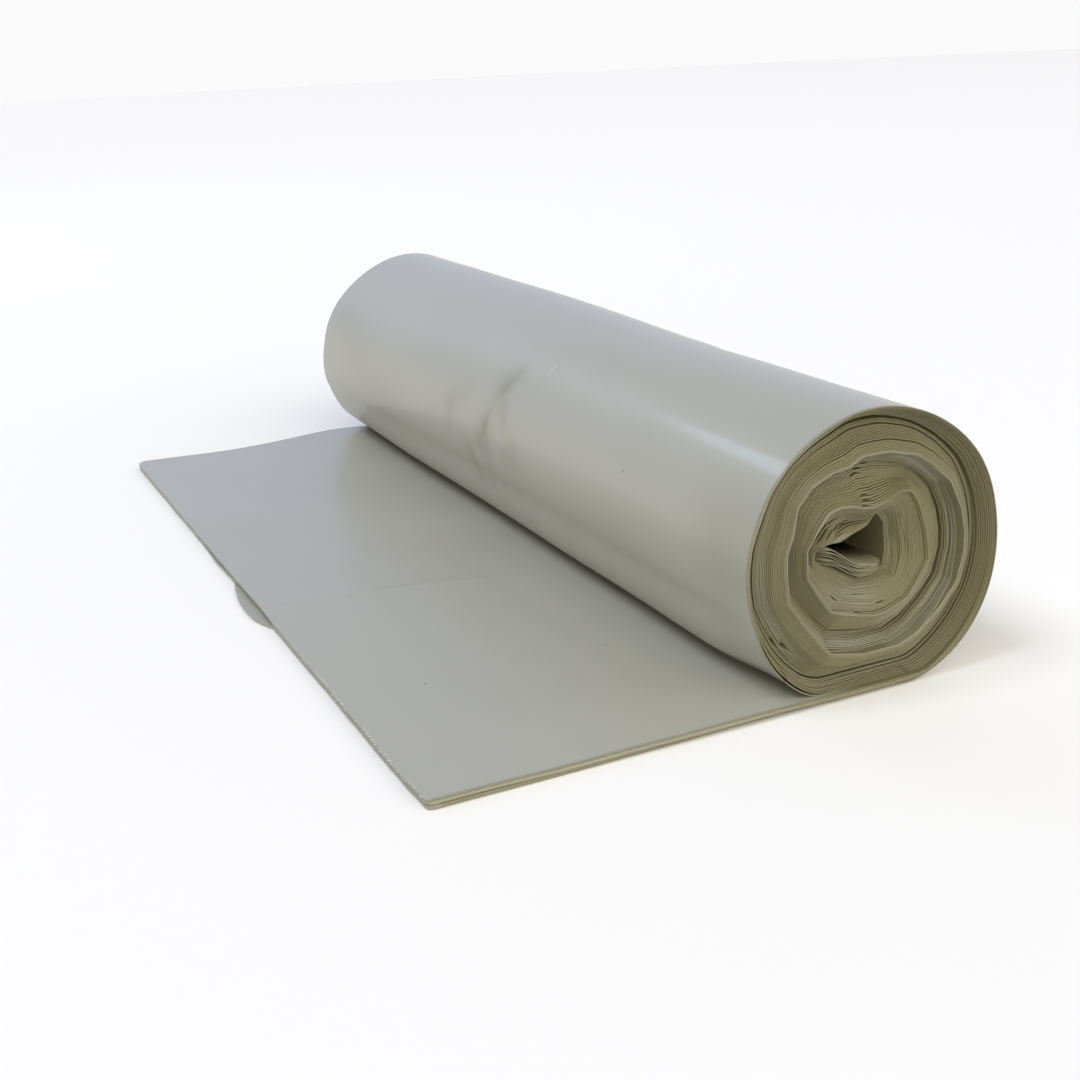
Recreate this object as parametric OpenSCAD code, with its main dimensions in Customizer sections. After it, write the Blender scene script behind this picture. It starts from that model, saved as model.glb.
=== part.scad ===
// Coreless roll of folded bin bags, lying on its side on the floor.
// One long folded web is wound up on itself without a tube, and its loose end is drawn
// out flat from below the roll. The roll's axis runs along Y, the end that shows is at
// -Y, the loose end reaches towards -X, and the origin lies on the underside below the
// axis at mid-length. Sizes are in millimetres.

/* [Web] */
// Width of the folded web, which is the length of the roll
web_width = 330; // [250:5:450]
// Thickness of one pressed turn of the web
turn_t = 1.05; // [0.8:0.05:1.3]
// Air between one turn and the next
turn_gap = 0.15; // [0.1:0.01:0.3]
// Thickness that a turn puffs up to where it has room
loose_turn_t = 1.45; // [1.3:0.05:2]

/* [Roll] */
// Outside diameter of the roll
roll_d = 75; // [68:1:110]
// How far the axis drops as the roll sags on the floor
sag = 0.8; // [0:0.1:2]
// How far the lower side away from the loose end bulges
back_bulge = 2; // [0:0.1:4]
// How far the lower side above the loose end bulges
front_bulge = 1.9; // [0:0.1:4]

/* [Loose end] */
// Length from below the roll's axis to the cut edge
tail_len = 121; // [60:1:250]
// Thickness of the two packs that lie loose on each other
tail_t = 2.3; // [1.6:0.1:4]
// Thickness of the lower pack
lower_pack_t = 1.05; // [0.7:0.05:1.5]
// Height of the slit between the packs along both side edges
slit_h = 0.3; // [0.1:0.05:0.5]
// Depth of the slit from the side edge
slit_depth = 2.5; // [0.5:0.1:6]
// How far the tongue of the lower pack sticks out past the cut edge
tongue_reach = 3.5; // [1:0.1:10]
// Width of the tongue where it leaves the cut edge
tongue_w = 44; // [15:1:120]
// Distance from the near end of the roll to the middle of the tongue
tongue_from_end = 147; // [60:1:240]

/* [Core] */
// Diameter of the hole, without its corners
hole_d = 11; // [8:0.5:15]
// Reach of the hole's corner on the side where the first turns were pinched
pinch_corner = 3; // [0:0.1:4]
// Reach of the upper corner of the hole
upper_corner = 3.2; // [0:0.1:4]
// Reach of the lower corner of the hole
lower_corner = 1.8; // [0:0.1:3]
// Mean diameter of the turn that the pinch folds most sharply
folded_turn_d = 22; // [20:0.5:26]
// How far that turn reaches out further at its fold
fold_reach = 1.5; // [0:0.1:2]

/* [Terraced end] */
// Mean diameter of the inner ridge, below which the turns are crushed
ridge_d = 35.6; // [32:0.2:38]
// Depth of the dent in the top of the inner ridge
ridge_dent = 6.2; // [0:0.1:7]
// How far the inner ridge bulges beside the pinch
ridge_bulge = 2; // [0:0.1:3]
// Diameter of the groove between the inner ridge and the creased crest
inner_groove_d = 46.6; // [42:0.2:49]
// Diameter of the creased crest
crest_d = 53.4; // [51:0.2:57]
// Creases round the crest
creases = 18; // [14:1:22]
// How far the crest steps in and out between its creases
crease_step = 0.5; // [0:0.05:1]
// Diameter of the groove behind the rim
outer_groove_d = 66.8; // [60:0.2:67.8]
// How far the hole lies behind the rim
hole_depth = 8; // [0:0.1:20]
// How far the inner ridge lies behind the rim
ridge_depth = 1.5; // [0:0.1:10]
// How far the inner groove lies behind the rim
inner_groove_depth = 5.7; // [0:0.1:12]
// How far the creased crest lies behind the rim
crest_depth = 0; // [0:0.1:6]
// How far the outer groove lies behind the rim
outer_groove_depth = 5.5; // [0:0.1:12]

/* [Hidden] */

film_colour = [0.73, 0.73, 0.7];
// Direction of each bulge, dent and corner round the roll's axis, and how far it spreads to
// each side, in degrees. 0 is away from the loose end and 90 is up
back_bulge_arc = [-45, 60];
front_bulge_arc = [238, 40];
ridge_dent_arc = [92, 52];
ridge_bulge_arc = [175, 45];
pinch_arc = [178, 34];
fold_arc = [178, 22];
upper_corner_arc = [62, 34];
lower_corner_arc = [-52, 40];
// Cutters run past an edge by this much
overrun = 1;

roll_r = roll_d / 2;
crest_r = crest_d / 2;
ridge_r = ridge_d / 2;
folded_r = folded_turn_d / 2;
// Mean radius of the hole, to which its corners add an eighth of their reach
core_r = hole_d / 2 + (pinch_corner + upper_corner + lower_corner) / 8;
pitch = turn_t + turn_gap;
axis_h = roll_r - sag;
steps = 2 * creases;
stations = floor((roll_r - turn_t - core_r) / pitch * steps);
// Pressed height of the turns below the axis, as a share of their free height
press = (axis_h - tail_t - turn_gap - core_r) / (roll_r - pitch - core_r);

// A smooth hump of height 1 in the middle of an arc, which is 0 outside it
function hump(a, arc) =
    let (d = a - arc[0] - 360 * floor((a - arc[0] + 180) / 360))
    abs(d) >= arc[1] ? 0 : pow(cos(90 * d / arc[1]), 2);

// Outlines of five turns, as the distance from the axis in direction a
function rim_at(a) = roll_r + back_bulge * hump(a, back_bulge_arc)
    + front_bulge * hump(a, front_bulge_arc);
function crest_at(a) = crest_r + crease_step / 2 * cos(creases * a);
function ridge_at(a) = ridge_r - ridge_dent * hump(a, ridge_dent_arc)
    + ridge_bulge * hump(a, ridge_bulge_arc);
function hole_at(a) = hole_d / 2 + pinch_corner * hump(a, pinch_arc)
    + upper_corner * hump(a, upper_corner_arc) + lower_corner * hump(a, lower_corner_arc);
function folded_at(a) = let (share = (folded_r - core_r) / (ridge_r - core_r))
    hole_at(a) + share * (ridge_at(a) - hole_at(a)) + fold_reach * hump(a, fold_arc);

// Free outline of the turn whose nominal radius is r
function free_at(a, r) = lookup(r, [[core_r, hole_at(a)], [folded_r, folded_at(a)],
    [ridge_r, ridge_at(a)], [crest_r, crest_at(a)], [roll_r, rim_at(a)]]);

// Height above the floor of a flattened layer that lies d inside the outermost one
function flat_h(d) = d <= turn_t / 2 ? 0
    : d <= turn_t ? tail_t * (2 * d / turn_t - 1)
    : d <= pitch ? tail_t + d - turn_t
    : tail_t + turn_gap + press * (d - pitch);

// Distance from the axis to that layer's flat in direction a, or out of reach above the flats
function flat_at(a, d) = sin(a) > -0.2 ? 10 * roll_d : (axis_h - flat_h(d)) / -sin(a);

// Distance from the axis to both faces of the web, its outer face at the nominal radius r
function outer_at(a, r) = min(free_at(a, r), flat_at(a, roll_r - r));
function inner_at(a, r) =
    min(max(free_at(a, r - turn_t), free_at(a, r) - loose_turn_t), flat_at(a, roll_r - r + turn_t));

// How far the turn of nominal radius r lies behind the rim at the near end. The web keeps
// its width, so the far end stands out by as much
function shift_at(r) = lookup(r, [[core_r, hole_depth], [ridge_r, ridge_depth],
    [inner_groove_d / 2, inner_groove_depth], [crest_r, crest_depth],
    [outer_groove_d / 2, outer_groove_depth], [roll_r, 0]]);

// The near and far corner of the web at distance r from the axis in direction a
function edge_pair(a, r, shift) = [for (side = [-1, 1])
    [r * cos(a), side * web_width / 2 + shift, axis_h + r * sin(a)]];

// The four corners of the web at station i, counted inwards from below the axis
function corners(i) =
    let (a = -90 + 360 * i / steps, r = roll_r - pitch * i / steps, shift = shift_at(r),
        outer = edge_pair(a, outer_at(a, r), shift), inner = edge_pair(a, inner_at(a, r), shift))
    [outer[0], outer[1], inner[1], inner[0]];

// The four corners of the web at the cut edge
cut_corners = [[-tail_len, -web_width / 2, 0], [-tail_len, web_width / 2, 0],
    [-tail_len, web_width / 2, tail_t], [-tail_len, -web_width / 2, tail_t]];

// The whole web as one strip, from the cut edge to its end at the hole
module web() {
    last = 4 * (stations + 1);
    cut_face = [0, 3, 2, 1];
    end_face = [last, last + 1, last + 2, last + 3];
    sides = [for (s = [0:stations], k = [0:3])
        let (p = 4 * s + k, q = 4 * s + (k + 1) % 4) each [[p, q, q + 4], [p, q + 4, p + 4]]];
    polyhedron(
        points = concat(cut_corners, [for (i = [0:stations]) each corners(i)]),
        faces = concat([cut_face, end_face], sides),
        convexity = 12);
}

// The part of the lower pack that sticks out past the cut edge, fuller towards the near end
module tongue() {
    fullness = 2.5;
    lean = 0.35;
    points = 10;
    mid = tongue_from_end - web_width / 2;
    linear_extrude(height = lower_pack_t)
        polygon([
            [-tail_len + slit_depth, mid - tongue_w / 2],
            [-tail_len + slit_depth, mid + tongue_w / 2],
            for (i = [0:points]) let (t = 1 - 2 * i / points)
                [-tail_len - tongue_reach * (1 - pow(abs(t), fullness)) * (1 - lean * t),
                 mid + tongue_w / 2 * t]]);
}

// Sharp slit between the two packs along the side edge at -Y (side = -1) or +Y (side = 1)
module pack_slit(side) {
    half_mouth = slit_h / 2 * (slit_depth + overrun) / slit_depth;
    translate([-tail_len - overrun, side * web_width / 2, lower_pack_t + slit_h / 2])
        rotate([90, 0, 90])
            linear_extrude(height = tail_len + overrun)
                polygon([[-side * slit_depth, 0], [side * overrun, half_mouth],
                    [side * overrun, -half_mouth]]);
}

module bag_roll() {
    color(film_colour) union() {
        difference() {
            web();
            pack_slit(-1);
            pack_slit(1);
        }
        tongue();
    }
}

bag_roll();
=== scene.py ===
import bpy
import numpy as np
from mathutils import Matrix, Vector


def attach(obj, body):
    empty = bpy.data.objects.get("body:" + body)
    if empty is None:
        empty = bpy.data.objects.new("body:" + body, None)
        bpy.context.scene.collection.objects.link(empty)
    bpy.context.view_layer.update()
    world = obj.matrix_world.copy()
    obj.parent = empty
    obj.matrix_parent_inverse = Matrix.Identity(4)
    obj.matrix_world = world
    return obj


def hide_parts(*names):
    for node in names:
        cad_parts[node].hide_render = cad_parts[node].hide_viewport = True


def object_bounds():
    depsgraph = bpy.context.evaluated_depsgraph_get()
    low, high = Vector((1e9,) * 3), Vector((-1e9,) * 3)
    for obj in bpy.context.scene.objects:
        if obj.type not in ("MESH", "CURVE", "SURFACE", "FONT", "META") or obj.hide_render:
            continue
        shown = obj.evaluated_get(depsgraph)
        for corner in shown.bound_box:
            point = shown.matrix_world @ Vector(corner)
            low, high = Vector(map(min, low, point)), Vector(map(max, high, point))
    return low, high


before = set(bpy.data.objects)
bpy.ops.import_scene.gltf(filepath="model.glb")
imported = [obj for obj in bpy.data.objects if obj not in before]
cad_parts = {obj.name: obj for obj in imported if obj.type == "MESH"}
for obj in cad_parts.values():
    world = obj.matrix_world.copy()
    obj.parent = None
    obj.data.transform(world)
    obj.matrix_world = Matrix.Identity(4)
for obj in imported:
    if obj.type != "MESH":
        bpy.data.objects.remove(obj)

# A bin bag roll: one long web of two folded packs, wound without a core, its loose end
# drawn out flat. The roll's axis runs along Y, the end that shows is at -Y, the loose
# end reaches towards -X. Shapes are worked out in millimetres and turned into metres
# where a mesh is made. Directions round the roll's axis are in degrees: 0 is away from the
# loose end and 90 is up.
MM = 0.001
NODE = "bag_roll"
BODY = "root"
CAD_BOX = [list(corner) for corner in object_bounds()]

# The web's width and the roll's radius are read from the frame's box, which the near end and
# the roll's right side touch. The other sizes are those of the part's source
NEAR = round(CAD_BOX[0][1] / MM, 1)
FAR = -NEAR
WEB_WIDTH = FAR - NEAR
ROLL_R = round(CAD_BOX[1][0] / MM, 1)
SAG = 0.8
TURN_T = 1.05
TURN_GAP = 0.15
TAIL_LEN = 121.0
TAIL_T = 2.3
TONGUE_REACH = 3.5
TONGUE_W = 44.0
TONGUE_Y = 147.0 + NEAR
TONGUE_FULLNESS = 2.5
TONGUE_LEAN = 0.35

# The bulges low down on both sides of the roll: how far, the direction and its half width
BACK_BULGE = (2.0, -45, 60)
FRONT_BULGE = (1.9, 238, 40)

# Nominal radii of the turns whose outlines are known, from the hole outwards
CORE_R = 6.5
PINCH_R = 11.0
RIDGE_R = 17.8
GROOVE_R = 23.3
CREST_R = 26.7

# How thick a turn gets where it has room, how far along the first turn the leaves are pressed
# together completely, and the radius at which the roll's bulges have faded out inwards
LOOSE_TURN_T = 2.0
PRESSED_BY = 60.0
BULGES_END_R = 18.0

# From one turn to the next, the height of the axis, the pressed height of the turns below the
# axis as a share of their free height, and the number of turns
PITCH = TURN_T + TURN_GAP
AXIS_H = ROLL_R - SAG
PRESS = (AXIS_H - TAIL_T - TURN_GAP - CORE_R) / (ROLL_R - PITCH - CORE_R)
LAST_TURN = (ROLL_R - TURN_T - CORE_R) / PITCH

# The leaves of the web from its outer face inwards: each one's place in the web's thickness on
# the loose end and in the roll, and how light its near edge is on the loose end
LEAVES = {
    "outer_leaf": ((0.0, 0.2), (-0.06, 0.215), 0.22),
    "second_leaf": ((0.215, 0.37), (0.225, 0.49), 0.22),
    "third_leaf": ((0.42, 0.85), (0.50, 0.765), 0.44),
    "inner_leaf": ((0.885, 1.0), (0.775, 1.06), 0.22),
}
OUTERMOST = "outer_leaf"
TOPMOST = "inner_leaf"
LOWER_PACK = ("outer_leaf", "second_leaf")

# How far the near end lies behind the rim, by distance from the axis
TERRACES = [
    (6.5, 7.2), (9.0, 5.6), (12.0, 3.8), (15.5, 2.9), (17.0, 2.5), (17.5, 1.5), (18.0, 1.5),
    (18.8, 2.6), (21.6, 4.9), (23.3, 5.8), (24.2, 5.4), (25.8, 3.6), (26.35, 2.6), (26.5, 0.1),
    (27.2, 0.0), (28.2, 0.7), (29.6, 1.7), (30.6, 3.5), (31.7, 4.7), (33.4, 5.9), (34.2, 4.9),
    (36.3, 1.7), (ROLL_R, 0.0),
]

# Places where the near end lies deeper or shallower: direction and its half width in
# degrees, distance from the axis and its half width, and the change of depth
HOLLOWS = [
    (118, 62, 14.5, 2.4, 3.2), (105, 60, 9.0, 2.2, -1.5), (78, 46, 35.0, 1.2, 2.6),
    (-140, 60, 9.5, 2.0, -1.2), (-165, 60, 25.2, 1.2, -1.4), (-20, 110, 23.6, 0.5, 2.8),
    (0, 85, 25.75, 0.5, 1.6), (145, 60, 33.2, 2.5, -1.8), (10, 80, 12.0, 4.0, 1.0),
    (60, 60, 20.5, 1.2, 1.6), (160, 35, 14.5, 1.2, 2.6), (132, 38, 11.8, 1.7, 1.6),
    (-10, 110, 31.2, 1.4, 1.5), (-15, 90, 29.4, 1.0, 0.9), (5, 90, 9.8, 1.6, 1.3),
    (162, 14, 16.6, 0.7, 2.0), (-140, 30, 35.2, 1.2, 1.4),
]

# How unevenly the edges of the leaves lie on the loose end and in the roll, and the places
# where it is more: direction and its half width, distance from the axis and its half width,
# and by how much
TAIL_UNEVEN = 0.05
ROLL_UNEVEN = 0.06
UNEVEN = [
    (-115, 60, 13.5, 3.0, 0.25), (0, 70, 11.0, 4.0, 0.2), (-135, 60, 34.5, 2.5, 0.35),
    (90, 70, 35.5, 1.6, 0.25), (172, 16, 13.0, 2.5, 0.3),
]

# How light the lip of the crest is painted all round, as a painted highlight where it catches the
# light, with its distance from the axis and its half width, and how light the rim is painted, partly
# the turned skin's own face and partly painted light, which begins at a distance from the axis and
# is lighter still at a direction and its half width
CREST_PAINTED_LIGHT = 0.34
CREST_LIP = (CREST_R, 0.25)
RIM_FACE_AND_PAINTED_LIGHT = 0.42
RIM_BEGINS = 37.2
RIM_LIGHTER_STILL = (0.35, 225, 45)

# Places where the leaves' edges are painted lighter, as painted light where they catch it:
# direction and its half width, distance from the axis and its half width, and how light
PAINTED_LIGHT_PATCHES = [
    (150, 65, 35.0, 2.0, 0.5), (-100, 50, 25.3, 1.2, 0.6), (60, 22, 25.3, 1.2, 0.45),
    (-50, 50, 20.5, 1.8, 0.3), (-115, 60, 14.5, 3.0, 0.28), (-165, 50, 31.5, 1.5, 0.3),
    (-90, 60, 34.5, 1.8, 0.2), (160, 50, 9.3, 1.0, 0.3), (190, 150, 17.9, 0.3, 0.36),
    (20, 120, 7.0, 0.4, 0.3),
]

# Faces of the crest's inner wall between its creases, each painted its own lightness as painted
# light and shade of faces turned to and from the light: from one direction to another, and how
# light each is. Then where they lie on the leaves' edges and on their sides: the distance from
# the axis and its half width
WALL_FACES = [
    (35, 65, 0.44), (16, 35, 0.16), (-9, 16, 0.32), (-26, -9, 0.2), (-42, -26, 0.38),
    (-61, -42, 0.32), (-80, -61, 0.44),
]
WALL_EDGES = (25.6, 0.9)
WALL_SIDES = (26.35, 0.25)

# How light the loose end is between its leaves, painted darker as shade under the pack above
# where the tongue shows it, and how light it is on the cut edge of each pack
COVERED_PAINTED_SHADE_TONE = 0.72
LOWER_CUT_CLEAN = 0.5
UPPER_CUT_CLEAN = 0.15

# Dark gaps where a leaf lies deeper than its neighbours: the leaf, the place along it, half the
# length and the depth. Places and lengths are in degrees, 360 to each turn, and counted from
# below the axis inwards. First the short gaps, then the long ones
GAPS = [
    ("outer_leaf", 1386, 2.0, 2.5), ("inner_leaf", 1390, 1.6, 2.5), ("outer_leaf", 1751, 2.0, 2.5),
    ("second_leaf", 4141, 1.8, 1.2), ("inner_leaf", 4147, 2.0, 1.2), ("outer_leaf", 4163, 1.3, 1.2),
    ("second_leaf", 4403, 1.2, 1.2), ("second_leaf", 4431, 1.8, 1.4), ("second_leaf", 4510, 3.0, 1.6),
    ("third_leaf", 5227, 4.0, 1.2), ("outer_leaf", 5586, 4.0, 1.5), ("third_leaf", 5590, 4.0, 1.2),
    ("inner_leaf", 5745, 3.0, 1.6), ("third_leaf", 6434, 3.5, 2.0), ("outer_leaf", 6493, 2.5, 1.8),
    ("second_leaf", 6706, 5.0, 3.5), ("inner_leaf", 6721, 6.0, 3.5), ("third_leaf", 6722, 5.0, 3.0),
    ("outer_leaf", 7063, 5.0, 3.0), ("second_leaf", 7084, 5.0, 3.0), ("second_leaf", 7422, 7.0, 3.5),
    ("third_leaf", 7426, 6.0, 3.0), ("outer_leaf", 7441, 5.0, 2.6), ("inner_leaf", 7799, 5.0, 3.0),
    ("outer_leaf", 7802, 6.0, 3.5),
    ("inner_leaf", 870, 100, 2.6), ("third_leaf", 872, 60, 2.0), ("second_leaf", 1026, 75, 2.6),
    ("inner_leaf", 1210, 60, 2.0), ("second_leaf", 2320, 50, 1.2), ("inner_leaf", 4330, 45, 1.4),
    ("inner_leaf", 7406, 22, 1.5), ("second_leaf", 7768, 26, 1.4),
]

# Corners of the creased crest: direction in degrees and distance from the axis
CREST_CORNERS = [
    (-164, 27.0), (-141, 25.2), (-120, 26.8), (-100, 25.6), (-80, 26.6), (-61, 26.5),
    (-42, 26.4), (-26, 27.5), (-9, 27.2), (2, 27.0), (16, 26.7), (35, 26.8), (52, 26.1),
    (65, 26.2), (83, 26.0), (101, 26.4), (110, 25.4), (121, 26.9), (132, 28.2), (145, 28.4),
    (159, 26.4), (169, 27.0), (181, 26.6),
]

# Corners of the inner ridge, dented in from above
RIDGE_CORNERS = [
    (-172, 19.6), (-148, 17.8), (-134, 17.9), (-112, 15.9), (-88, 16.4), (-74, 16.7),
    (-53, 17.4), (-38, 16.8), (-15, 17.6), (11, 16.3), (39, 17.3), (52, 18.2), (60, 17.2),
    (67, 15.2), (76, 12.9), (90, 11.4), (104, 12.3), (117, 14.6), (126, 16.5), (136, 18.1),
    (150, 18.5), (168, 20.0),
]

# Corners of the hole and of the turn around it, with the sharp fold where they were pinched
HOLE_CORNERS = [
    (-179, 13.5), (-177, 12.0), (-168, 9.6), (-155, 7.8), (-118, 6.2), (-87, 5.4), (-57, 5.8),
    (-44, 8.0), (-22, 7.1), (2, 6.8), (40, 8.3), (58, 8.9), (70, 9.0), (79, 7.6), (93, 5.7),
    (120, 4.9), (141, 5.2), (158, 6.6), (165, 10.5), (169, 13.0), (175, 13.8),
]
PINCH_CORNERS = [
    (-179, 15.8), (-172, 14.0), (-155, 10.6), (-118, 8.7), (-87, 8.0), (-57, 8.9), (-44, 10.8),
    (-22, 10.2), (2, 9.9), (40, 11.0), (58, 11.6), (70, 10.9), (79, 9.4), (93, 7.6), (120, 8.0),
    (141, 9.2), (158, 11.0), (165, 13.6), (169, 15.4), (175, 16.0),
]

# The folds that the pinch pushed into the hole: where the uppermost and the lowest of them
# run, across and above the axis, from the knot to the hooked end
PLEAT_TOP = [
    (-14.4, 1.6), (-12.2, 2.5), (-9.9, 1.8), (-7.8, 0.3), (-5.2, -1.9), (-3.0, -3.2), (0.4, -3.7),
    (3.5, -4.2), (5.6, -4.0),
]
PLEAT_LOW = [
    (-15.2, 0.4), (-14.2, -0.4), (-11.8, -1.1), (-9.4, -2.4), (-6.2, -4.2), (-3.0, -5.8),
    (0.3, -5.6), (3.2, -4.9), (5.4, -4.4),
]

# How many folds there are, in how many steps, how thick they are, and where along Y the
# uppermost begins and all of them end
PLEATS = 7
PLEAT_STEPS = 60
PLEAT_T = 0.24
PLEAT_FRONT = NEAR + 4.6
PLEAT_BACK = NEAR + 22.0

# Where the roll bulges or is pressed in along part of its length: direction and its half
# width, how far, and the places along Y where that begins and is complete
BULGES = [
    (62, 45, 1.9, -70.0, 50.0), (128, 42, -1.4, 20.0, 150.0), (62, 40, -0.4, -60.0, -75.0),
    (224, 24, 2.6, -165.0, -130.0), (224, 24, -0.9, 90.0, 165.0), (200, 34, 2.2, 0.0, 160.0),
]

# Dents and creases in the roll's skin: from one direction and place along Y to another, then
# the half widths of the far and the near side, and the height
SKIN_MARKS = [
    (165, 16, 158, -14, 12, 12, -0.2), (165, -26.5, 176, -23.0, 5.5, 3.0, 0.5),
    (165, -10, 180, -7, 5.0, 3.6, 0.22), (142, -22, 156, -14, 5.5, 3.8, 0.16),
    (160, 11, 170, 25, 3.5, 3.0, 0.1), (170, 25, 183, 24.6, 3.5, 3.0, 0.1),
    (180, -19.6, 209, -10.5, 4.0, 2.8, 0.3), (188, 6, 202, 0, 5.0, 3.4, 0.25),
]

# Painted shade on the roll's skin: darker in its dents and softly near both ends, standing in for
# the shade there. From one direction and place along Y to another, then the half widths of the far
# and the near side, and how dark. Where they overlap, it gets no darker than the last value
SKIN_PAINTED_SHADES = [
    (142, -20.5, 150, -15, 4.0, 3.0, 0.28), (150, -15, 157, -10.5, 6.5, 3.5, 0.2),
    (161.5, -19.5, 166, -20.5, 5.0, 4.0, 0.3), (166, -8.5, 173, -6, 2.5, 2.5, 0.25),
    (174, -6, 181, -1.5, 5.5, 4.5, 0.36), (160, 11, 170, 25, 4.5, 4.0, 0.14),
    (170, 25, 182, 24.6, 4.0, 3.0, 0.12), (189, 8, 200, 6, 6.0, 3.5, 0.28),
    (178, -29, 186, -28, 3.5, 3.5, 0.12), (187, -8.5, 205, -4, 4.0, 3.0, 0.14),
    (173, -200, 175, -152, 15.0, 13.0, 0.32), (156, 150, 190, 92, 16.0, 16.0, 0.12),
]
DARKEST_PAINTED_SHADE = 0.6

# Where the outermost leaf's edge parts from the next at the near end, written like SKIN_MARKS
PARTED_EDGE = [(212, -165, 238, -165, 5.0, 5.0, 0.55)]

# The faint crease and a soft swelling of the loose end: from one X and Y to another, then as
# for the roll
TAIL_MARKS = [(-121, -26, -55, -40, 1.6, 1.2, 0.14), (-95, -30, -40, -46, 9, 9, 0.15)]

# Height of the soft waves in the roll's skin and in the loose end
SKIN_WAVE = 0.15
TAIL_WAVE = 0.16

# The swelling where the loose end leaves the roll at its far end: how high, its place along X
# and its half width, and the places along Y where it begins and is complete
FAR_SWELLING = (0.9, -36.0, 16.0, 70.0, 160.0)

# How far the loose end's far edge curves in, with its place along X and its half width, and how
# far the lower pack's near edge lies behind the upper one's
FAR_EDGE_CURVE = (3.4, -84.0, 42.0)
LOWER_PACK_BACK = 1.5

# The cut edge: how much of the loose end follows its shape, how much it wanders, how far it lies
# back at its near corner, and its corners, with their places along Y and their radii
CUT_REACH = 12.0
CUT_WANDER = 0.1
NEAR_CORNER_BACK = 0.3
CUT_CORNERS = [(NEAR, 1.9), (FAR, 4.6)]

# How far the lower pack sticks out beside its tongue, with the place along Y and its half width
LOWER_SWELLING = (0.5, 27.0, 17.0)

# Torn tabs along each pack's cut edge: height above the floor, whether it is the lower pack, the
# size of its tabs, and how much larger they are near the near corner
TABS = [(TAIL_T - 0.1, False, 0.16, 0.55), (0.8, True, 0.08, 0.2)]

# The web's rows and stations are closer together where the skin has its dents: from one
# distance to another behind the near edge, and from one part of the first turn to another
DENT_ROWS = (118.0, 200.0)
DENT_TURNS = (0.58, 0.88)

# How many turns, from below the axis, belong to the outside of the web
OUTSIDE_TURNS = 1.05

# A scratch, a scuff painted lighter with a painted glint, and specks: on the roll by direction and
# place along Y, or on the loose end by X and Y, then the length, the width and the lean of each in
# degrees. Each is drawn in a few steps
SCRATCHES = [(133.3, -36.3, 5.6, 2.2, 4.0)]
ROLL_SPECKS = [(161.9, -99.5, 0.8, 0.5, 20.0)]
TAIL_SPECKS = [(-98.0, -105.0, 0.9, 0.5, 40.0), (-46.0, -107.0, 0.7, 0.4, 0.0)]
SPECK_STEPS = 9


def between(low, high, x):
    """0 below low, 1 above high, and a smooth step from one to the other."""
    t = np.clip((x - low) / (high - low), 0.0, 1.0)
    return t * t * (3 - 2 * t)


def hump(a, middle, half):
    """A smooth hump of height 1 at a direction, which ends `half` degrees to each side."""
    d = (a - middle + 180.0) % 360.0 - 180.0
    return np.where(np.abs(d) < half, np.cos(np.radians(90.0 * d / half)) ** 2, 0.0)


def bell(x, middle, spread):
    """A soft bell of height 1, which is about a third as high one spread to each side."""
    return np.exp(-((x - middle) / spread) ** 2)


def waves(x, seed, count=5, longest=1.0):
    """Smooth noise of about unit height along x, made of a few sines."""
    draw = np.random.default_rng(seed)
    total = np.zeros_like(np.asarray(x, float))
    for k in range(count):
        length = longest / (1.0 + 0.9 * k) * draw.uniform(0.85, 1.15)
        total += np.sin(2 * np.pi * (x / length + draw.uniform())) / (1.0 + 0.5 * k)
    return total / 1.6


def along_line(x, y, start, end, far_width, near_width):
    """1 on the line from start to end, falling smoothly to 0 on its far and its near side."""
    line = np.array(end, float) - np.array(start, float)
    length = np.hypot(*line)
    t = np.clip(((x - start[0]) * line[0] + (y - start[1]) * line[1]) / length ** 2, 0.0, 1.0)
    gap = np.hypot(x - start[0] - t * line[0], y - start[1] - t * line[1])
    side = (line[0] * (y - start[1]) - line[1] * (x - start[0])) * np.sign(line[0]) / length
    share = 0.5 + 0.5 * np.clip(side / np.maximum(gap, 1e-6), -1.0, 1.0)
    return bell(gap, 0.0, near_width + share * (far_width - near_width))


def outline(a, corners):
    """Distance from the axis, in direction a, to the closed polygon through the corners."""
    ordered = sorted((c[0] % 360.0, c[1]) for c in corners)
    angle = np.array([ordered[-1][0] - 360.0] + [c[0] for c in ordered] + [ordered[0][0] + 360.0])
    reach = np.array([ordered[-1][1]] + [c[1] for c in ordered] + [ordered[0][1]])
    a = np.asarray(a, float) % 360.0
    k = np.clip(np.searchsorted(angle, a, side="right") - 1, 0, len(angle) - 2)
    low, high = np.radians(angle[k]), np.radians(angle[k + 1])
    here = np.radians(a)
    return reach[k] * reach[k + 1] * np.sin(high - low) / (
        reach[k] * np.sin(here - low) + reach[k + 1] * np.sin(high - here))


def rim_at(a):
    """Distance from the axis to the outermost turn, before the floor flattens it."""
    total = ROLL_R
    for height, middle, half in (BACK_BULGE, FRONT_BULGE):
        total = total + height * hump(a, middle, half)
    return total


def free_at(a, r):
    """Free outline of the turn whose nominal radius is r, between the known outlines."""
    known = [CORE_R, PINCH_R, RIDGE_R, GROOVE_R, CREST_R, ROLL_R]
    shapes = [outline(a, c) for c in (HOLE_CORNERS, PINCH_CORNERS, RIDGE_CORNERS, CREST_CORNERS)]
    shapes.insert(3, shapes[3] * GROOVE_R / CREST_R)
    shapes.append(rim_at(a))
    result = shapes[0] + 0.0 * r
    for low, high, inner, outer in zip(known, known[1:], shapes, shapes[1:]):
        t = np.clip((r - low) / (high - low), 0.0, 1.0)
        result = np.where(r >= low, inner + t * (outer - inner), result)
    return result


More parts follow.
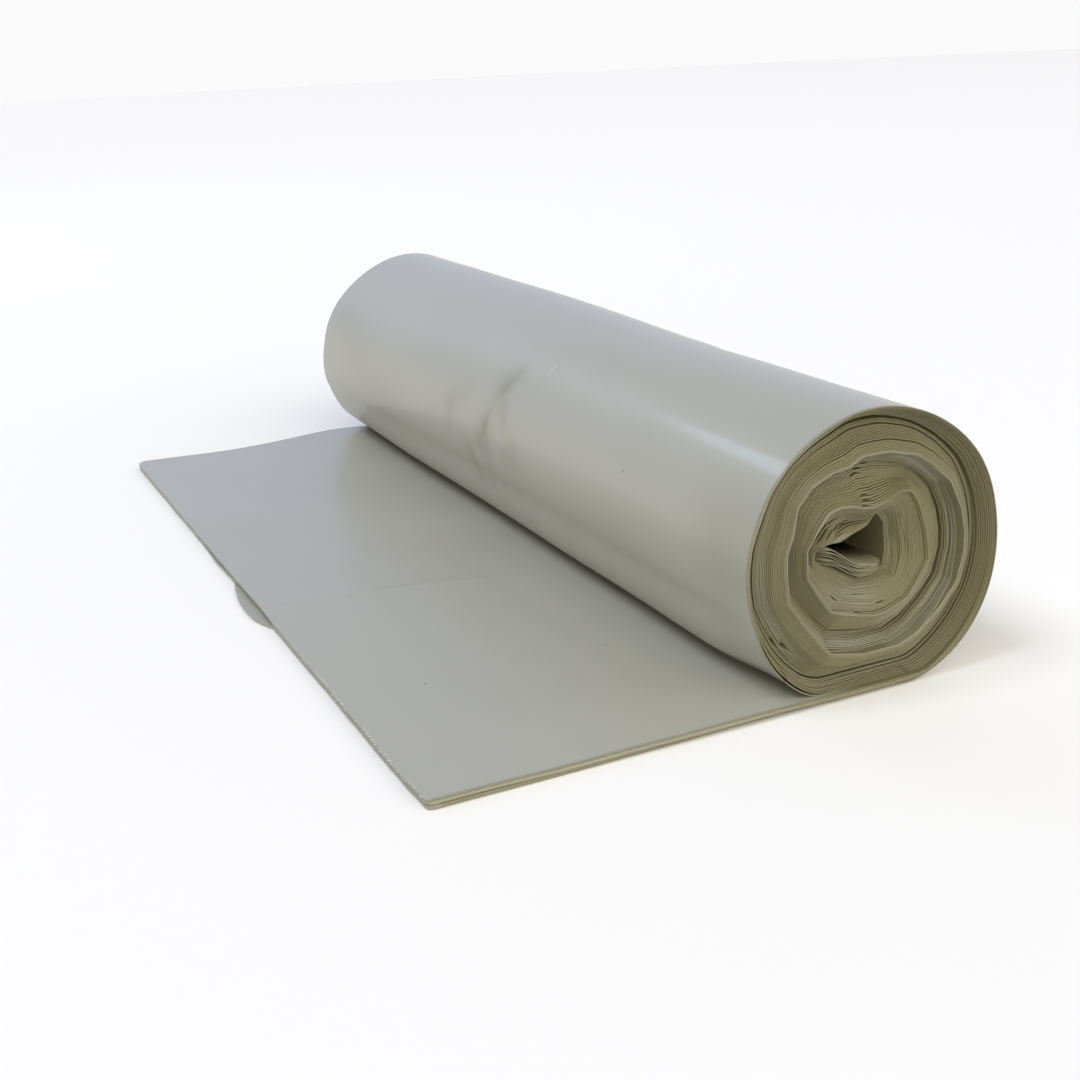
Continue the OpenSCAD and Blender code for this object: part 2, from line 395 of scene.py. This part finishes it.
def flat_h(d):
    """Height above the floor of a flattened layer that lies d inside the outermost one."""
    under = np.clip(TAIL_T * (2 * d / TURN_T - 1), 0.0, TAIL_T)
    return np.where(d <= TURN_T, under, np.where(
        d <= PITCH, TAIL_T + d - TURN_T, TAIL_T + TURN_GAP + PRESS * (d - PITCH)))


def flat_at(a, d):
    """Distance from the axis to that layer's flat, or out of reach above the flats."""
    down = -np.sin(np.radians(a))
    return np.where(down < 0.2, 1000.0, (AXIS_H - flat_h(d)) / np.maximum(down, 0.2))


def outer_at(a, r):
    """Distance from the axis to the outer face of the turn whose nominal radius is r."""
    return np.minimum(free_at(a, r), flat_at(a, ROLL_R - r))


def inner_at(a, r):
    """Distance from the axis to the inner face of that turn."""
    loose = np.maximum(free_at(a, r - TURN_T), free_at(a, r) - LOOSE_TURN_T)
    return np.minimum(loose, flat_at(a, ROLL_R - r + TURN_T))


def patches(a, r, table):
    """What each place in a table adds at a direction and a distance from the axis."""
    return [
        amount * hump(a, direction, half) * bell(r, middle, spread)
        for direction, half, middle, spread, amount in table
    ]


def depth_at(a, r):
    """How far behind the rim a layer's near edge lies, by direction and nominal radius."""
    radii, depths = zip(*TERRACES)
    return sum(patches(a, r, HOLLOWS), np.interp(r, radii, depths))


def unevenness(a, r):
    """How unevenly the leaves' edges lie at a place on the near end."""
    return sum(patches(a, r, UNEVEN), ROLL_UNEVEN)


def painted_wall_light(a):
    """How light each face of the crest's inner wall is painted, as painted light and shade."""
    a = (a + 180.0) % 360.0 - 180.0
    light = 0.0 * a
    for low, high, clean in WALL_FACES:
        light = np.where((a > low) & (a <= high), clean, light)
    return light


def painted_lip_light(a, r):
    """How light a folded edge is painted: painted light on the crest's lip, the wall's faces and the
    patches, and on the rim partly the turned skin's own face.
    """
    more, direction, half = RIM_LIGHTER_STILL
    crest = CREST_PAINTED_LIGHT * bell(r, *CREST_LIP)
    rim = (RIM_FACE_AND_PAINTED_LIGHT + more * hump(a, direction, half)) * (r > RIM_BEGINS)
    wall = painted_wall_light(a) * bell(r, *WALL_EDGES)
    return np.stack([crest, rim, wall, *patches(a, r, PAINTED_LIGHT_PATCHES)]).max(axis=0)


def stations(tail_xs, turns):
    """Stations along the web: first places along X on the loose end, then turns inwards from
    below the axis. `along` is the way along the web, negative on the loose end."""
    turns = np.asarray(turns, float)
    angle = -90.0 + 360.0 * turns
    radius = ROLL_R - PITCH * turns
    c, s = np.cos(np.radians(angle)), np.sin(np.radians(angle))
    o, i = outer_at(angle, radius), inner_at(angle, radius)
    outer = np.stack([o * c, AXIS_H + o * s], 1)
    inner = np.stack([i * c, AXIS_H + i * s], 1)
    tail_xs = np.asarray(tail_xs, float)
    tail = np.stack([tail_xs, 0 * tail_xs], 1)
    return {
        "outer": np.concatenate([tail, outer]),
        "inner": np.concatenate([tail + [0, TAIL_T], inner]),
        "angle": np.concatenate([0 * tail_xs - 90.0, angle]),
        "radius": np.concatenate([0 * tail_xs + ROLL_R, radius]),
        "along": np.concatenate([tail_xs, 2 * np.pi * ROLL_R * turns]),
    }


def way_along(direction):
    """The way along the web, from below the axis, to a direction on the outermost turn."""
    return np.radians(direction + 90.0) * ROLL_R


def marks_at(along, y, marks, on_roll):
    """The height that each mark of a table has at a place on the web."""
    heights = []
    for first, y0, last, y1, far_width, near_width, height in marks:
        start, end = (way_along(first), way_along(last)) if on_roll else (first, last)
        line = along_line(along, y, (start, y0), (end, y1), far_width, near_width)
        heights.append(height * line)
    return heights


def bulge(direction, y):
    """How far the roll's skin bulges at a place along Y."""
    total = 0.0 * (direction + y)
    for middle, half, height, start, whole in BULGES:
        reach = between(start, whole, y) if whole > start else 1 - between(whole, start, y)
        total = total + height * hump(direction, middle, half) * reach
    return total


def tail_lift(x, y):
    """How far the loose end stands above its plain form."""
    wave = 1.3 + waves(y + 0.5 * x, 21, 4, 170.0) + 0.5 * waves(x - 0.3 * y, 22, 3, 90.0)
    lift = sum(marks_at(x, y, TAIL_MARKS, False), TAIL_WAVE * wave)
    lift = np.maximum(lift, 0.0) * (1 - between(-30.0, -6.0, x))
    height, middle, half, start, whole = FAR_SWELLING
    return lift + height * bell(x, middle, half) * between(start, whole, y)


def surface_push(along, y):
    """How far the web stands out of its plain form at a place on it. The outer face of the
    loose end lies on the floor, so there out is down."""
    roll = SKIN_WAVE * waves(y + 0.3 * along, 11, 4, 300.0) * between(20.0, 90.0, along)
    roll = roll + bulge(np.degrees(along / ROLL_R) - 90.0, y) * between(0.0, 40.0, along)
    roll = sum(marks_at(along, y, SKIN_MARKS, True), roll)
    return np.where(along < 0, -tail_lift(along, y), roll)


def painted_skin_shade(along, y):
    """How much painted shade darkens the roll's skin, in its dents and near its ends."""
    return np.clip(sum(marks_at(along, y, SKIN_PAINTED_SHADES, True)), 0.0, DARKEST_PAINTED_SHADE)


def cut_edge(y, lower):
    """How far the cut edge stands out at y: its corners are rounded, it wanders a little, and
    the lower pack's tongue sticks out."""
    reach = CUT_WANDER * waves(y, 31, 6, 60.0)
    reach = reach - NEAR_CORNER_BACK * (1 - between(NEAR + 1.0, NEAR + 12.0, y))
    for end, radius in CUT_CORNERS:
        inside = np.clip(radius - np.abs(y - end), 0.0, radius)
        reach = reach - (radius - np.sqrt(radius ** 2 - inside ** 2))
    if lower:
        t = np.clip((y - TONGUE_Y) / (TONGUE_W / 2), -1.0, 1.0)
        reach = reach + TONGUE_REACH * (1 - np.abs(t) ** TONGUE_FULLNESS) * (1 - TONGUE_LEAN * t)
        height, middle, half = LOWER_SWELLING
        reach = reach + height * bell(y, middle, half)
    return reach


def new_object(name, verts, faces, smooth=True):
    """A mesh object, from points in millimetres."""
    mesh = bpy.data.meshes.new(name)
    mesh.from_pydata((np.asarray(verts) * MM).tolist(), [], faces)
    mesh.update()
    obj = bpy.data.objects.new(name, mesh)
    bpy.context.scene.collection.objects.link(obj)
    mesh.polygons.foreach_set("use_smooth", [smooth] * len(mesh.polygons))
    return obj


def strip_faces(count, ring):
    """Faces of a closed strip of `count` rings, each of a near tip, the outer rows, a far tip
    and the inner rows, with both ends closed."""
    rows = (ring - 2) // 2
    faces = []
    for i in range(count - 1):
        base, after = i * ring, (i + 1) * ring
        for k in range(ring):
            n = (k + 1) % ring
            faces.append((base + k, after + k, after + n, base + n))
    for base, flip in ((0, False), ((count - 1) * ring, True)):
        ends = [(0, 1, ring - 1), (rows, rows + 1, rows + 2)]
        ends += [(1 + j, 2 + j, ring - 2 - j, ring - 1 - j) for j in range(rows - 1)]
        faces += [tuple(base + k for k in (end[::-1] if flip else end)) for end in ends]
    return faces


def near_edge(leaf, line, leaf_r, pressed, seed):
    """Where along Y the near edge of a leaf lies, at each station."""
    along, angle = line["along"], line["angle"]
    near = NEAR + depth_at(angle, leaf_r) * pressed
    uneven = unevenness(angle, leaf_r) * pressed + TAIL_UNEVEN * (1 - pressed)
    near = near + uneven * (waves(along, seed, 3, 110.0) + 0.6 * waves(along, seed + 9, 4, 400.0))
    turned = np.degrees(along / ROLL_R)
    for gap_leaf, place, half, deep in GAPS:
        if gap_leaf == leaf:
            near = near + deep * bell(turned, place, half)
    if leaf in LOWER_PACK:
        near = near + LOWER_PACK_BACK * between(-105.0, -12.0, along) * (1 - between(-8.0, 30.0, along))
    return near


def leaf_push(leaf, line, y, outside):
    """How far a leaf stands out of its plain form. Inside the outermost turn only the bulges go
    on, and they fade towards the ridge."""
    if not outside:
        fade = np.clip((line["radius"] - BULGES_END_R) / (ROLL_R - BULGES_END_R), 0.0, 1.0) ** 1.5
        return bulge(line["angle"][:, None], y) * fade[:, None]
    along = line["along"][:, None]
    push = surface_push(along, y)
    if leaf == OUTERMOST:
        push = sum(marks_at(along, y, PARTED_EDGE, True), push)
    return push


def near_edge_tone(leaf, line, leaf_r):
    """How light a leaf's near edge is at each station: the painted light of the folded edges on the roll,
    and on the loose end the tone given in LEAVES, darker towards the roll.
    """
    along = line["along"]
    on_tail = LEAVES[leaf][2] * (1 - 0.8 * between(-50.0, -5.0, along))
    return np.where(along < 0, on_tail, painted_lip_light(line["angle"], leaf_r))


def turns_painted_light(leaf, line, y, leaf_r):
    """How much of the skin's colour shows between the turns: only as painted light on the near
    edges and as painted light and shade on the crest's inner wall."""
    shown = np.zeros((len(y), 2 * y.shape[1] + 2))
    shown[:, [0, 1, -1]] = near_edge_tone(leaf, line, leaf_r)[:, None]
    wall = painted_wall_light(line["angle"]) * bell(leaf_r, *WALL_SIDES)
    shown[:, -3:-1] = wall[:, None]
    return shown


def outside_colour_and_painted_shading(leaf, line, y, leaf_r, rows):
    """How much of the skin's colour shows outside: all of it on the roll's skin, less its painted
    shade, and on top of the loose end, and less on edges and between the leaves, with painted light on
    the roll's edges."""
    along = line["along"]
    row_count = len(rows)
    edge = near_edge_tone(leaf, line, leaf_r)[:, None]
    shown = np.zeros((len(y), 2 * row_count + 2))
    shown[:, 0] = edge[:, 0]
    inset = np.minimum(rows, WEB_WIDTH - rows)
    skin = between(-0.3, 1.2, inset)[None, :]
    # The skin's colour, less the painted shade of its dents and ends
    shown[:, 1:row_count + 1] = skin * (leaf == OUTERMOST) * (1 - painted_skin_shade(along[:, None], y))
    # Tops under the topmost leaf get painted shade, which shows on the tongue
    top = 1.0 if leaf == TOPMOST else COVERED_PAINTED_SHADE_TONE
    on_top = (1 - between(-22.0, -2.0, along))[:, None] * top
    shown[:, row_count + 2:] = (skin * on_top)[:, ::-1]
    cut = LOWER_CUT_CLEAN if leaf in LOWER_PACK else UPPER_CUT_CLEAN
    shown = np.maximum(shown, cut * (1 - between(-119.0, -117.0, along))[:, None])
    shown[:, [1, -1]] = np.maximum(shown[:, [1, -1]], edge * (along < 0)[:, None])
    return shown


def show_colour(obj, shown):
    """Stores how much of the skin's colour shows at each vertex, for the film's material, painted light
    and painted shade included.
    """
    layer = obj.data.attributes.new("shown", "FLOAT", "POINT")
    layer.data.foreach_set("value", np.ravel(shown))


def strip_verts(line, share, y, push, slide, tip):
    """The points of a leaf's strip, in rings as strip_faces joins them. `share` is the place of
    its two faces in the web's thickness, and its edges' tips stand out by `tip`."""
    thick = line["outer"] - line["inner"]
    unit = thick / np.linalg.norm(thick, axis=1, keepdims=True)
    count, row_count = y.shape
    verts = np.zeros((count, 2 * row_count + 2, 3))
    forwards, backwards = slice(None), slice(None, None, -1)
    for start, s, order in ((1, share[0], forwards), (row_count + 2, share[1], backwards)):
        face = line["outer"] - thick * s[:, None]
        place = face[:, None, :] + unit[:, None, :] * push[:, order, None]
        verts[:, start:start + row_count, 0] = place[:, :, 0] + slide[:, order]
        verts[:, start:start + row_count, 1] = y[:, order]
        verts[:, start:start + row_count, 2] = place[:, :, 1]
    verts[:, 0] = (verts[:, 1] + verts[:, -1]) / 2 - [0, tip, 0]
    verts[:, row_count + 1] = (verts[:, row_count] + verts[:, row_count + 2]) / 2 + [0, tip, 0]
    return verts


def leaf_mesh(leaf, line, rows, seed, outside):
    """One leaf of the web as a closed strip. `line` holds the stations, and `rows` the distances
    of the leaf's rows from its near edge."""
    along = line["along"]
    pressed = between(0.0, PRESSED_BY, along)
    loose, tight, _ = LEAVES[leaf]
    share = [(1 - pressed) * loose[k] + pressed * tight[k] for k in (0, 1)]
    leaf_r = line["radius"] - TURN_T * (share[0] + share[1]) / 2
    near = near_edge(leaf, line, leaf_r, pressed, seed)
    most, middle, half = FAR_EDGE_CURVE
    curve = most * hump(along, middle, half) * (along < 0)
    y = near[:, None] + rows[None, :] * (1 - curve / WEB_WIDTH)[:, None]
    push = leaf_push(leaf, line, y, outside)
    if outside:
        name = leaf + "_outside"
        at_cut = np.clip((-along - (TAIL_LEN - CUT_REACH)) / CUT_REACH, 0.0, 1.0)[:, None] ** 2
        slide = -cut_edge(y, leaf in LOWER_PACK) * at_cut
        shown = outside_colour_and_painted_shading(leaf, line, y, leaf_r, rows)
    else:
        name = leaf + "_turns"
        slide = np.zeros_like(y)
        shown = turns_painted_light(leaf, line, y, leaf_r)
    verts = strip_verts(line, share, y, push, slide, rows[0])
    count, ring = verts.shape[:2]
    obj = new_object(name, verts.reshape(-1, 3), strip_faces(count, ring))
    show_colour(obj, shown)
    return obj


def noise(tree, scale, detail):
    """Noise over the object's own coordinates."""
    place = tree.nodes.new("ShaderNodeTexCoord")
    texture = tree.nodes.new("ShaderNodeTexNoise")
    texture.inputs["Scale"].default_value = scale
    texture.inputs["Detail"].default_value = detail
    tree.links.new(place.outputs["Object"], texture.inputs["Vector"])
    return texture.outputs["Fac"]


def spread_to(tree, value, low, high):
    """A value from 0 to 1 spread over the range from low to high."""
    node = tree.nodes.new("ShaderNodeMapRange")
    node.inputs["To Min"].default_value = low
    node.inputs["To Max"].default_value = high
    tree.links.new(value, node.inputs["Value"])
    return node.outputs["Result"]


def add_ripples(tree, shader):
    """Faint fine ripples in the film's shading."""
    bump = tree.nodes.new("ShaderNodeBump")
    bump.inputs["Strength"].default_value = 0.1
    bump.inputs["Distance"].default_value = 0.001
    tree.links.new(noise(tree, 90.0, 4.0), bump.inputs["Height"])
    tree.links.new(bump.outputs["Normal"], shader.inputs["Normal"])


def film_material(name, skin, inside):
    """Polythene film: the skin's colour and gloss where it shows, olive on the folds between turns. How
    much shows also carries painted light on edges and painted shade on the skin.
    """
    mat = bpy.data.materials.new(name)
    mat.use_nodes = True
    tree = mat.node_tree
    nodes, links = tree.nodes, tree.links
    shader = nodes["Principled BSDF"]
    shader.inputs["IOR"].default_value = 1.5
    shader.inputs["Coat Weight"].default_value = 0.2
    shader.inputs["Coat Roughness"].default_value = 0.14

    shown = nodes.new("ShaderNodeAttribute")
    shown.attribute_name = "shown"
    mix = nodes.new("ShaderNodeMix")
    mix.data_type = "RGBA"
    mix.inputs["A"].default_value = (*inside, 1)
    mix.inputs["B"].default_value = (*skin, 1)
    links.new(shown.outputs["Fac"], mix.inputs["Factor"])

    toned = nodes.new("ShaderNodeMix")
    toned.data_type = "RGBA"
    toned.blend_type = "MULTIPLY"
    toned.inputs["Factor"].default_value = 1.0
    links.new(mix.outputs["Result"], toned.inputs["A"])
    links.new(spread_to(tree, noise(tree, 18.0, 3.0), 0.96, 1.04), toned.inputs["B"])
    links.new(toned.outputs["Result"], shader.inputs["Base Color"])
    links.new(spread_to(tree, shown.outputs["Fac"], 0.5, 0.38), shader.inputs["Roughness"])
    add_ripples(tree, shader)
    return mat


def finish_piece(obj, material):
    """Gives a piece its material and ties it to the part."""
    obj.data.materials.append(material)
    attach(obj, BODY)
    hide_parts(NODE)


def stretches(*spans):
    """Numbers in stretches, each from a start up to an end by a step."""
    return np.concatenate([np.arange(*span) for span in spans])


def build_web(film):
    """Every leaf of the web: its outside, with the loose end and the outermost turn, in fine
    rows, and the turns inside that."""
    edge_rows = np.array([0.1, 0.3, 0.8, 1.4])
    first, last = DENT_ROWS
    inner_rows = stretches((2.5, first, 2.5), (first, last, 1.25), (last, 328.0, 2.5))
    skin_rows = np.concatenate([edge_rows, inner_rows, WEB_WIDTH - edge_rows[::-1]])
    turn_edge = np.array([0.1, 0.3, 6.0])
    turn_rows = np.concatenate([turn_edge, WEB_WIDTH - turn_edge[::-1]])

    from_cut = np.array([0.0, 0.1, 0.4, 1.0, 2.0, 3.5, 5.5])
    tail_xs = np.concatenate([from_cut - TAIL_LEN, np.arange(-113.0, -1.0, 3.0)])
    first, last = DENT_TURNS
    outside_turns = stretches((0.0, first, 1 / 96), (first, last, 1 / 240), (last, OUTSIDE_TURNS, 1 / 96))
    inside_turns = np.arange(OUTSIDE_TURNS, LAST_TURN, 1 / 144)
    outside_line = stations(tail_xs, np.append(outside_turns, OUTSIDE_TURNS))
    inside_line = stations([], np.append(inside_turns, LAST_TURN))
    for seed, leaf in enumerate(LEAVES):
        finish_piece(leaf_mesh(leaf, outside_line, skin_rows, seed, True), film)
        finish_piece(leaf_mesh(leaf, inside_line, turn_rows, seed, False), film)


def smoothed(points, count):
    """Points spread evenly along a path through the given ones, with its corners eased."""
    points = np.array(points, float)
    length = np.append(0.0, np.cumsum(np.linalg.norm(np.diff(points, axis=0), axis=1)))
    spread = np.linspace(0.0, length[-1], count)
    path = np.stack([np.interp(spread, length, points[:, k]) for k in (0, 1)], 1)
    for _ in range(3):
        path[1:-1] = (path[:-2] + 2 * path[1:-1] + path[2:]) / 4
    return path


def pleat_path(share, seed):
    """How a fold runs across and up, and the direction across it at each step. `share` is 0 for
    the uppermost fold and 1 for the lowest."""
    top, low = smoothed(PLEAT_TOP, PLEAT_STEPS), smoothed(PLEAT_LOW, PLEAT_STEPS)
    path = top + (low - top) * share + [0.0, AXIS_H]
    path[:, 1] += 0.16 * waves(np.linspace(0.0, 1.0, PLEAT_STEPS), seed, 3, 0.8)
    along = np.gradient(path, axis=0)
    across = np.stack([-along[:, 1], along[:, 0]], 1)
    return path, across / np.linalg.norm(along, axis=1, keepdims=True)


def pleat_faces(base):
    """The faces of a fold whose first point has the number `base`: rings of five points, and
    both ends closed."""
    last = base + 5 * (PLEAT_STEPS - 1)
    faces = []
    for a in range(base, last, 5):
        b = a + 5
        faces += [(a + j, b + j, b + (j + 1) % 5, a + (j + 1) % 5) for j in range(5)]
    faces.append(tuple(base + j for j in range(5)))
    faces.append(tuple(last + j for j in range(4, -1, -1)))
    return faces


def build_pleats(film):
    """The folds in the hole, each a thin leaf that runs back into it and sinks at both ends."""
    draw = np.random.default_rng(8)
    steps = np.linspace(0.0, 1.0, PLEAT_STEPS)
    ends = 1 - between(0.0, 0.14, steps) + between(0.86, 1.0, steps)
    thick = PLEAT_T * (1 - 0.6 * ends)
    verts, faces, shown = [], [], []
    for k in range(PLEATS):
        share = k / (PLEATS - 1)
        path, across = pleat_path(share, 50 + k)
        front = PLEAT_FRONT - 0.9 * share + draw.uniform(-0.5, 0.5)
        front = front + 0.4 * waves(steps, 70 + k, 3, 1.0) + 2.6 * ends
        tone = draw.uniform(0.0, 0.34)
        faces += pleat_faces(len(verts))
        for p, n, f, t in zip(path, across, front, thick):
            for half, y in ((0.0, f - 0.1), (0.5, f), (0.5, PLEAT_BACK), (-0.5, PLEAT_BACK), (-0.5, f)):
                verts.append((p[0] + n[0] * half * t, y, p[1] + n[1] * half * t))
            shown += [tone, tone, 0.0, 0.0, tone]
    obj = new_object("pinched_pleats", verts, faces)
    show_colour(obj, shown)
    finish_piece(obj, film)


def build_cut_edge(torn):
    """The torn perforation: a row of little tabs along the cut edge of each pack."""
    draw = np.random.default_rng(5)
    verts, faces = [], []
    for height, lower, least, more in TABS:
        y = NEAR + 3.0
        while y < FAR - 2.0:
            size = least + more * (1 - between(-100.0, -50.0, y))
            width = size * draw.uniform(0.3, 0.7)
            length = size * draw.uniform(0.1, 1.0)
            tilt = size * draw.uniform(-0.3, 0.5)
            lean = size * draw.uniform(-0.5, 0.5)
            x = -TAIL_LEN - float(cut_edge(np.array(y), lower))
            z = height - float(surface_push(np.array(-TAIL_LEN), np.array(y)))
            k = len(verts)
            for dx, dy, dz in (
                    (0.4, -width, -0.1), (0.4, width, -0.1), (0.4, width, 0.1), (0.4, -width, 0.1),
                    (-length, lean, tilt)):
                verts.append((x + dx, y + dy, z + dz))
            faces.append((k, k + 1, k + 2, k + 3))
            faces += [(k + (j + 1) % 4, k + j, k + 4) for j in range(4)]
            y += draw.uniform(0.9, 1.8)
    finish_piece(new_object("cut_edge_tabs", verts, faces, smooth=False), torn)


def on_roll(along, y, lift):
    """The point that stands `lift` above the roll's skin, by the way along the web."""
    a = along / ROLL_R - np.pi / 2
    nominal = ROLL_R - PITCH * along / (2 * np.pi * ROLL_R)
    push = float(surface_push(np.array(along), np.array(y)))
    r = float(outer_at(np.degrees(a), nominal)) + push + lift
    return r * np.cos(a), y, AXIS_H + r * np.sin(a)


def on_loose_end(x, y, lift):
    """The point that stands `lift` above the loose end."""
    return x, y, TAIL_T - float(surface_push(np.array(x), np.array(y))) + lift


def build_specks(name, material, roll_marks, tail_marks):
    """Small thin marks that lie on the film: a scratch, or specks."""
    marks = [(on_roll, 0.1, way_along(mark[0]), *mark[1:]) for mark in roll_marks]
    marks += [(on_loose_end, 0.05, *mark) for mark in tail_marks]
    verts, faces = [], []
    for place, lift, along, y, length, width, lean in marks:
        c, s = np.cos(np.radians(lean)), np.sin(np.radians(lean))
        base = len(verts)
        for du in np.linspace(-0.98, 0.98, SPECK_STEPS):
            for dv in (-np.sqrt(1 - du ** 2), np.sqrt(1 - du ** 2)):
                u = du * length / 2 * c - dv * width / 2 * s
                v = du * length / 2 * s + dv * width / 2 * c
                verts.append(place(along + u, y + v, lift))
        for k in range(base, base + 2 * (SPECK_STEPS - 1), 2):
            face = (k, k + 2, k + 3, k + 1)
            faces.append(face[::-1] if place is on_roll else face)
    finish_piece(new_object(name, verts, faces), material)


def plain_material(name, colour, roughness):
    """A mottled material: for the torn bits, painted light; for the scratch, a scuff with a painted
    glint; and for the specks.
    """
    mat = bpy.data.materials.new(name)
    mat.use_nodes = True
    nodes, links = mat.node_tree.nodes, mat.node_tree.links
    shader = nodes["Principled BSDF"]
    shader.inputs["Roughness"].default_value = roughness
    grain = nodes.new("ShaderNodeTexNoise")
    grain.inputs["Scale"].default_value = 600.0
    mix = nodes.new("ShaderNodeMix")
    mix.data_type = "RGBA"
    mix.inputs["A"].default_value = (*[0.75 * c for c in colour], 1)
    mix.inputs["B"].default_value = (*colour, 1)
    links.new(grain.outputs["Fac"], mix.inputs["Factor"])
    links.new(mix.outputs["Result"], shader.inputs["Base Color"])
    return mat


def build_floor():
    """A wide pale floor."""
    reach, sides = 6000.0, 64
    round_the_floor = np.linspace(0, 2 * np.pi, sides, endpoint=False)
    verts = [(reach * np.cos(t), reach * np.sin(t), 0) for t in round_the_floor]
    floor = new_object("floor", verts, [tuple(range(sides))])
    mat = bpy.data.materials.new("pale_floor")
    mat.use_nodes = True
    shader = mat.node_tree.nodes["Principled BSDF"]
    shader.inputs["Base Color"].default_value = (0.95, 0.925, 0.87, 1)
    shader.inputs["Roughness"].default_value = 0.9
    shader.inputs["Specular IOR Level"].default_value = 0.1
    floor.data.materials.append(mat)


# Soft light by direction: the axis it comes along, from which side, and its radiance. Near the
# horizon and below it there is an even haze instead, which fades from one height to another
SOFT_LIGHT = [
    ("X", 1.0, (0.88, 0.90, 0.94)), ("Y", 1.0, (0.69, 0.78, 1.16)), ("Y", -1.0, (3.48, 3.33, 3.03)),
]
HAZE = (0.96, 0.96, 0.96, 1)
HAZE_FADES = (0.04, 0.1)

# Flat lights, in metres and watts: name, place, what it points at, size, power and colour. The
# window makes the streak of light near the roll's end. The others are far off, so that they
# light the floor evenly
ROLL_END = (-0.026, -0.16, 0.062)
MIDDLE = (-0.03, 0.0, 0.0)
LIGHTS = [
    ("window", (-0.594, 1.36, 1.056), ROLL_END, (0.25, 0.2), 1.25, (0.8, 0.97, 1.26)),
    ("softbox", (-24.0, 0.0, 41.5), MIDDLE, (21.6, 21.6), 9600.0, (0.91, 0.99, 1.17)),
    ("front_fill", (-19.8, -20.0, 38.4), MIDDLE, (21.6, 21.6), 2500.0, (0.98, 1.0, 1.02)),
]


def area_light(name, place, target, size, power, colour):
    """A flat light that points at a target."""
    data = bpy.data.lights.new(name, "AREA")
    data.shape = "RECTANGLE"
    data.size, data.size_y = size
    data.energy = power
    data.color = colour
    obj = bpy.data.objects.new(name, data)
    obj.location = place
    obj.rotation_euler = (Vector(target) - Vector(place)).to_track_quat("-Z", "Y").to_euler()
    bpy.context.scene.collection.objects.link(obj)


def math_node(tree, operation, a, b):
    """A math node with two inputs, each a number or another node's output."""
    node = tree.nodes.new("ShaderNodeMath")
    node.operation = operation
    for socket, value in zip(node.inputs, (a, b)):
        if isinstance(value, float):
            socket.default_value = value
        else:
            tree.links.new(value, socket)
    return node.outputs[0]


def soft_light(tree, direction):
    """The light of SOFT_LIGHT, summed. Each falls off with the square of the cosine."""
    total = None
    for axis, sign, colour in SOFT_LIGHT:
        facing = math_node(tree, "MULTIPLY", direction.outputs[axis], sign)
        facing = math_node(tree, "MAXIMUM", facing, 0.0)
        tint = tree.nodes.new("ShaderNodeVectorMath")
        tint.operation = "SCALE"
        tint.inputs[0].default_value = colour
        tree.links.new(math_node(tree, "POWER", facing, 2.0), tint.inputs["Scale"])
        if total is None:
            total = tint.outputs[0]
        else:
            add = tree.nodes.new("ShaderNodeVectorMath")
            tree.links.new(total, add.inputs[0])
            tree.links.new(tint.outputs[0], add.inputs[1])
            total = add.outputs[0]
    return total


def build_world():
    """Soft light from all round: strong from the front, cool from behind, pale at the horizon."""
    world = bpy.data.worlds.new("studio")
    bpy.context.scene.world = world
    world.use_nodes = True
    tree = world.node_tree
    nodes, links = tree.nodes, tree.links
    place = nodes.new("ShaderNodeTexCoord")
    direction = nodes.new("ShaderNodeSeparateXYZ")
    links.new(place.outputs["Generated"], direction.inputs[0])

    haze = nodes.new("ShaderNodeMapRange")
    haze.interpolation_type = "SMOOTHSTEP"
    haze.inputs["From Min"].default_value = HAZE_FADES[0]
    haze.inputs["From Max"].default_value = HAZE_FADES[1]
    links.new(direction.outputs["Z"], haze.inputs["Value"])
    mix = nodes.new("ShaderNodeMix")
    mix.data_type = "RGBA"
    mix.inputs["A"].default_value = HAZE
    links.new(haze.outputs["Result"], mix.inputs["Factor"])
    links.new(soft_light(tree, direction), mix.inputs["B"])
    links.new(mix.outputs["Result"], nodes["Background"].inputs["Color"])


def build_camera():
    """The photograph's viewpoint, in metres and degrees, in the frame's own axes."""
    place = Vector((-0.21534, -0.44370, 0.16131))
    right = Vector((0.90420, -0.42436, -0.04846))
    ahead = Vector((0.38820, 0.86383, -0.32110))
    up = right.cross(ahead)
    data = bpy.data.cameras.new("camera")
    data.sensor_width = 36.0
    data.lens = 49.806
    cam = bpy.data.objects.new("camera", data)
    turn = Matrix((right, up, -ahead)).transposed()
    cam.matrix_world = Matrix.Translation(place) @ turn.to_4x4()
    bpy.context.scene.collection.objects.link(cam)
    bpy.context.scene.camera = cam


build_camera()
build_world()
for light in LIGHTS:
    area_light(*light)
build_floor()
film = film_material("polythene_film", (0.393, 0.383, 0.311), (0.174, 0.158, 0.078))
# The torn bits are lighter than the film: painted highlight where they catch the light
torn = plain_material("torn_film_painted_highlight", (0.66, 0.65, 0.6), 0.4)
# The scratch's colour: a scuff, painted lighter as a glint
scuff_and_glint = plain_material("scuff_and_painted_glint", (0.52, 0.52, 0.48), 0.8)
dirt = plain_material("specks", (0.2, 0.19, 0.15), 0.6)
build_web(film)
build_pleats(film)
build_cut_edge(torn)
build_specks("scratch", scuff_and_glint, SCRATCHES, [])
build_specks("specks", dirt, ROLL_SPECKS, TAIL_SPECKS)
bpy.context.scene.view_settings.view_transform = "Standard"
